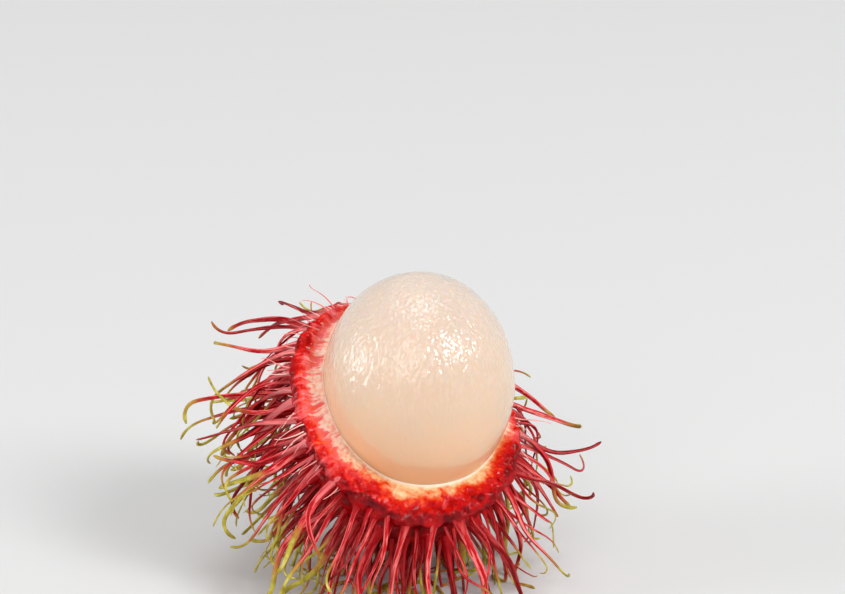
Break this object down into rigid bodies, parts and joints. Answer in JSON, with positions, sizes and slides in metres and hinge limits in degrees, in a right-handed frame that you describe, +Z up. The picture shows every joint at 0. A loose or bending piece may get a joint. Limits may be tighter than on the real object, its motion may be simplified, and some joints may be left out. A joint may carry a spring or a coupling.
{
  "type": "rambutan",
  "caption": "Half-peeled rambutan fruit standing on its soft spines, with pale flesh coming out of a cup of red rind that is grown all over with them.",
  "frame": {"origin": "on the surface that the fruit stands on, straight under its lowest point, where one of the spines that hold it up is bent flat", "axes": "+Z up; the mouth of the cup, out of which the aril stands, faces -Y, +X and up; +X is to the right seen from the front"},
  "size_m": [0.0638, 0.0545, 0.0482],
  "materials": {
    "rind": "satin, fleshy",
    "aril": "wet, translucent"
  },
  "bodies": {
    "root": {"rind": "rind", "aril": "aril"}
  },
  "joints": []
}
